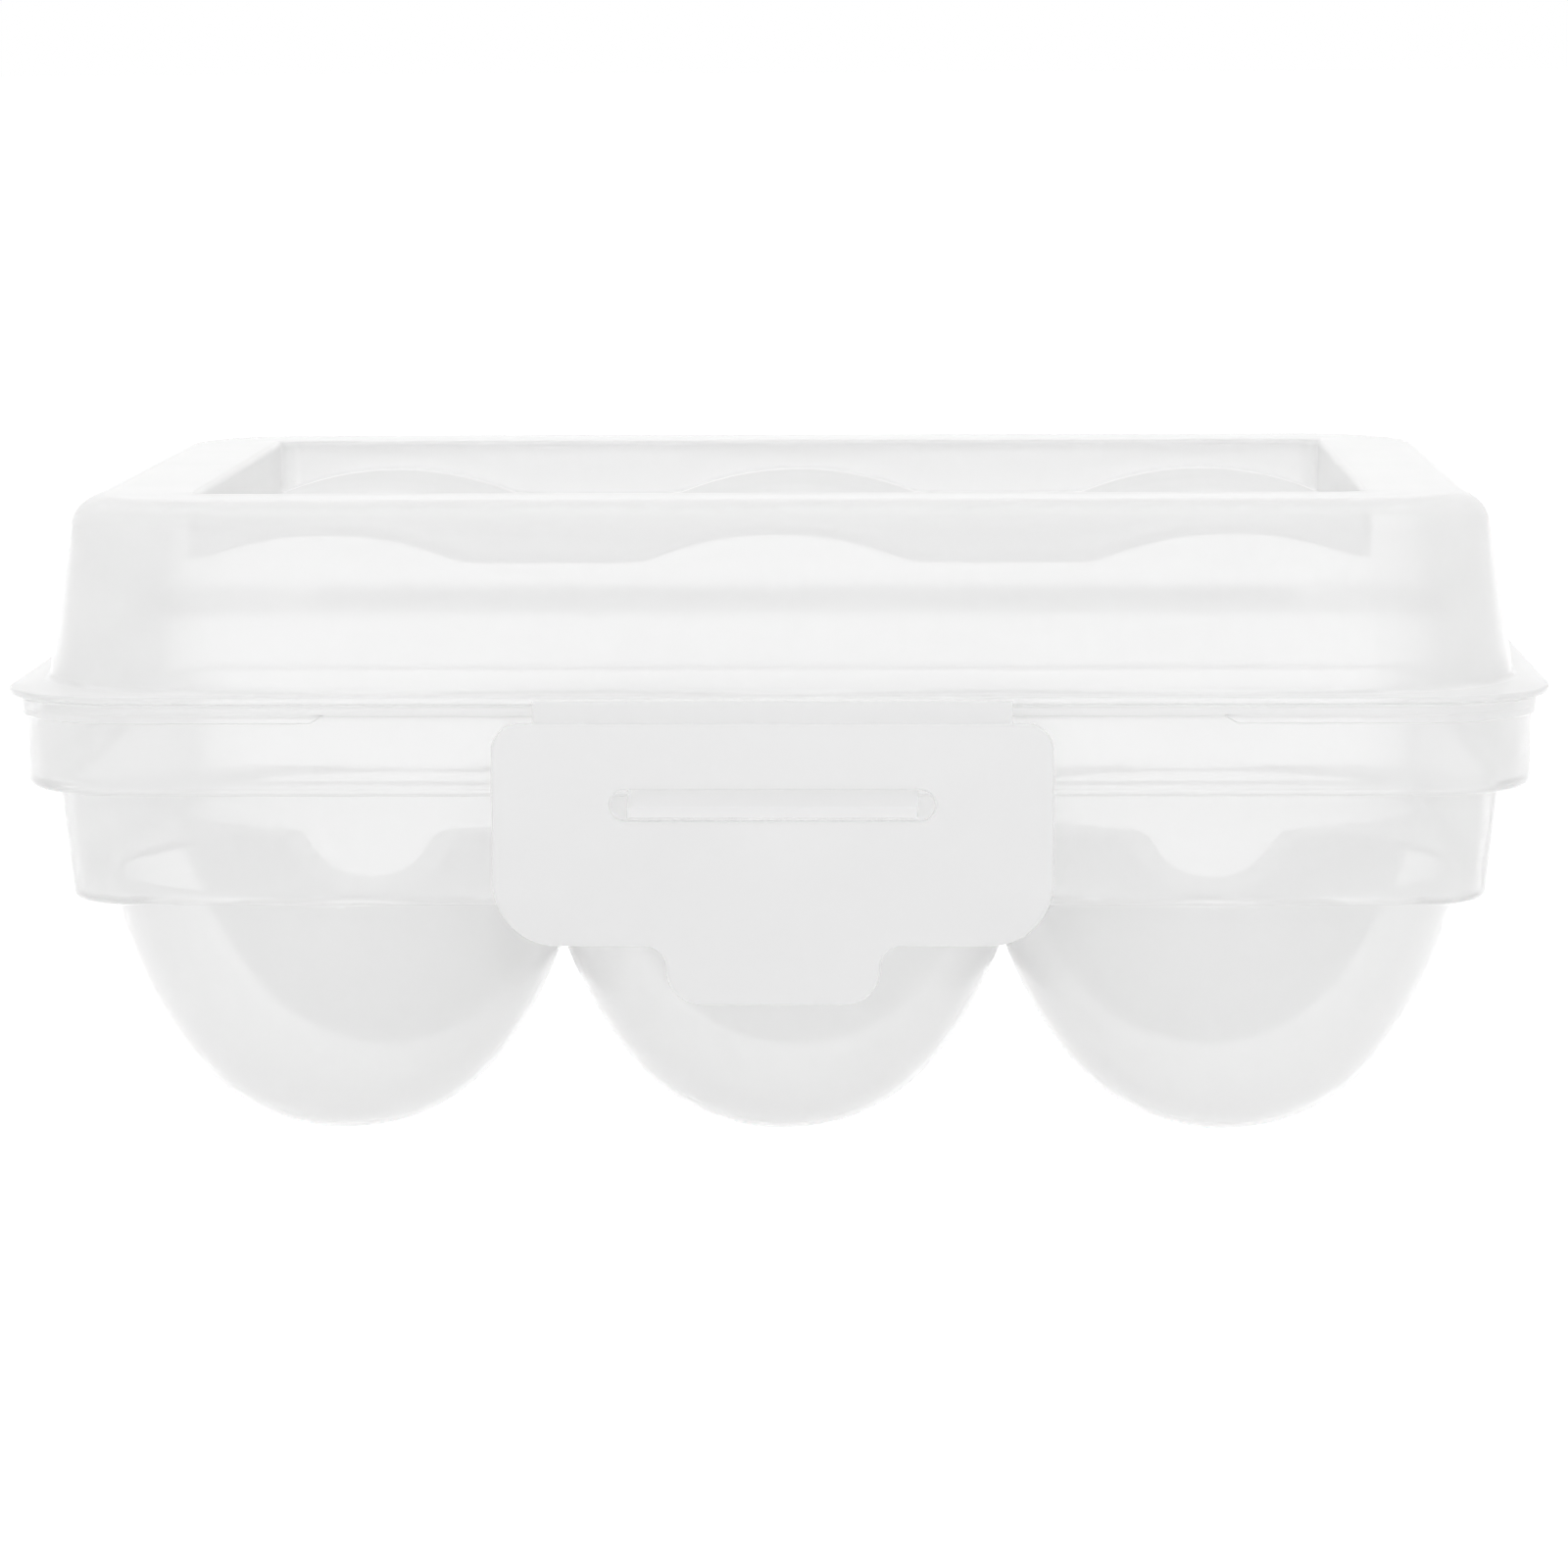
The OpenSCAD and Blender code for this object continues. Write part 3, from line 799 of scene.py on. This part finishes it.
# The latch is the same milky plastic as the base, its colour set a little darker: painted shade for
# the darker latch.
latch_plastic_painted_shade = plastic("latch milky plastic", (0.92, 0.92, 0.92), milk=0.6, roughness=0.3)

base = build_base()
dress(base, base_finish)
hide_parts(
    "base_wall", "base_collar", "base_rim", "tray_deck",
    "egg_cup_front_left", "egg_cup_front_middle", "egg_cup_front_right",
    "egg_cup_back_left", "egg_cup_back_middle", "egg_cup_back_right"
)
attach(base, "base")

catch_bar = build_catch_bar()
dress(catch_bar, thick_finish)
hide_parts("catch_bar")
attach(catch_bar, "base")

lid = build_lid()
dress(lid, lid_plastic_painted_light)
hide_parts("lid_flange", "lid_cover", "lid_top_panel")
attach(lid, "lid")

flap = build_flap()
dress(flap, latch_plastic_painted_shade)
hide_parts("latch_flap")
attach(flap, "latch")

back_film = build_back_film()
dress(back_film, lid_plastic_painted_light)
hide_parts("lid_film_hinge")

latch_film = build_latch_film()
dress(latch_film, latch_plastic_painted_shade)
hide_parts("latch_film_hinge")


FLOOR_R = 20
FLOOR_SIDES = 96
FLOOR_DROP = 0.0002
FLOOR_ALBEDO = 0.9
FLOOR_GLOW = 0.6
HORIZON_LIGHT = 0.55
ZENITH_LIGHT = 1.35
# Share of the dome that is left at the sides
SIDE_LIGHT = 0.75


def unlit_rays(nodes, links):
    """1 for the camera's own rays, gloss and what is seen through clear parts, otherwise 0."""
    path = nodes.new("ShaderNodeLightPath")
    total = path.outputs["Is Camera Ray"]
    for ray in ("Is Glossy Ray", "Is Transmission Ray"):
        either = maths(nodes, "MAXIMUM")
        links.new(total, either.inputs[0])
        links.new(path.outputs[ray], either.inputs[1])
        total = either.outputs[0]
    return total


def build_floor():
    """Wide pale floor. It glows to the camera, so only the deepest part of the shadow shows."""
    bm = bmesh.new()
    bmesh.ops.create_circle(bm, cap_ends=True, segments=FLOOR_SIDES, radius=FLOOR_R)
    mesh = bpy.data.meshes.new("floor")
    bm.to_mesh(mesh)
    bm.free()
    floor = bpy.data.objects.new("floor", mesh)
    floor.location.z = -FLOOR_DROP
    bpy.context.scene.collection.objects.link(floor)
    mat = bpy.data.materials.new("pale floor")
    mat.use_nodes = True
    nodes, links = mat.node_tree.nodes, mat.node_tree.links
    nodes.clear()
    matt = nodes.new("ShaderNodeBsdfDiffuse")
    matt.inputs["Color"].default_value = (FLOOR_ALBEDO, FLOOR_ALBEDO, FLOOR_ALBEDO, 1)
    amount = maths(nodes, "MULTIPLY", FLOOR_GLOW)
    links.new(unlit_rays(nodes, links), amount.inputs[0])
    glow = nodes.new("ShaderNodeEmission")
    links.new(amount.outputs[0], glow.inputs["Strength"])
    both = nodes.new("ShaderNodeAddShader")
    links.new(matt.outputs[0], both.inputs[0])
    links.new(glow.outputs[0], both.inputs[1])
    out = nodes.new("ShaderNodeOutputMaterial")
    links.new(both.outputs[0], out.inputs["Surface"])
    mesh.materials.append(mat)


def build_world():
    """White studio: a dome brighter overhead and dimmer at the sides, and white to the camera."""
    world = bpy.data.worlds.new("studio")
    bpy.context.scene.world = world
    world.use_nodes = True
    nodes, links = world.node_tree.nodes, world.node_tree.links
    nodes.clear()
    coords = nodes.new("ShaderNodeTexCoord")
    parts = nodes.new("ShaderNodeSeparateXYZ")
    links.new(coords.outputs["Generated"], parts.inputs[0])
    level = map_range(nodes, HORIZON_LIGHT, ZENITH_LIGHT)
    links.new(parts.outputs["Z"], level.inputs["Value"])
    sideways = maths(nodes, "ABSOLUTE")
    links.new(parts.outputs["X"], sideways.inputs[0])
    fade = map_range(nodes, 1, SIDE_LIGHT)
    links.new(sideways.outputs[0], fade.inputs["Value"])
    faded = maths(nodes, "MULTIPLY")
    links.new(level.outputs["Result"], faded.inputs[0])
    links.new(fade.outputs["Result"], faded.inputs[1])
    dome = nodes.new("ShaderNodeBackground")
    links.new(faded.outputs[0], dome.inputs["Strength"])
    white = nodes.new("ShaderNodeBackground")
    for shader in (dome, white):
        shader.inputs["Color"].default_value = (1, 1, 1, 1)
    mix = nodes.new("ShaderNodeMixShader")
    links.new(unlit_rays(nodes, links), mix.inputs["Fac"])
    links.new(dome.outputs[0], mix.inputs[1])
    links.new(white.outputs[0], mix.inputs[2])
    out = nodes.new("ShaderNodeOutputWorld")
    links.new(mix.outputs[0], out.inputs["Surface"])


def softbox(name, place, target, size, power):
    """A rectangular soft lamp that faces a point."""
    lamp = bpy.data.lights.new(name, "AREA")
    lamp.shape = "RECTANGLE"
    lamp.size, lamp.size_y = size
    lamp.energy = power
    obj = bpy.data.objects.new(name, lamp)
    obj.location = place
    aim = Vector(target) - Vector(place)
    obj.rotation_euler = aim.to_track_quat("-Z", "Y").to_euler()
    bpy.context.scene.collection.objects.link(obj)


# Fitted to the outline: place in millimetres, turns in degrees, focal length in pixels
CAMERA_PLACE = (18.926, -599.75, 115.495)
CAMERA_TURNS = (1.87, 7.773, -0.274)
FOCAL_PX = 5542.86
FRAME_PX = 1600
SENSOR_MM = 36
NEAREST = 0.01


def build_camera():
    """Long lens in front of the box, a little above it and to its right."""
    place = Vector(CAMERA_PLACE) * MM
    yaw, pitch, roll = (math.radians(turn) for turn in CAMERA_TURNS)
    forward = Vector((
        -math.sin(yaw) * math.cos(pitch), math.cos(yaw) * math.cos(pitch), -math.sin(pitch)
    ))
    right = Vector((math.cos(yaw), math.sin(yaw), 0))
    up = right.cross(forward)
    turned_right = right * math.cos(roll) + up * math.sin(roll)
    turned_up = up * math.cos(roll) - right * math.sin(roll)
    camera = bpy.data.cameras.new("camera")
    camera.sensor_width = SENSOR_MM
    camera.lens = FOCAL_PX / FRAME_PX * camera.sensor_width
    camera.clip_start = NEAREST
    obj = bpy.data.objects.new("camera", camera)
    obj.matrix_world = Matrix.Translation(place) @ Matrix(
        (turned_right, turned_up, -forward)
    ).transposed().to_4x4()
    bpy.context.scene.collection.objects.link(obj)
    bpy.context.scene.camera = obj


build_floor()
build_world()
softbox("front", place=(0.05, -1.1, 0.14), target=(0, 0, 0.03), size=(0.9, 0.2), power=1.0)
build_camera()
bpy.context.scene.view_settings.view_transform = "Standard"
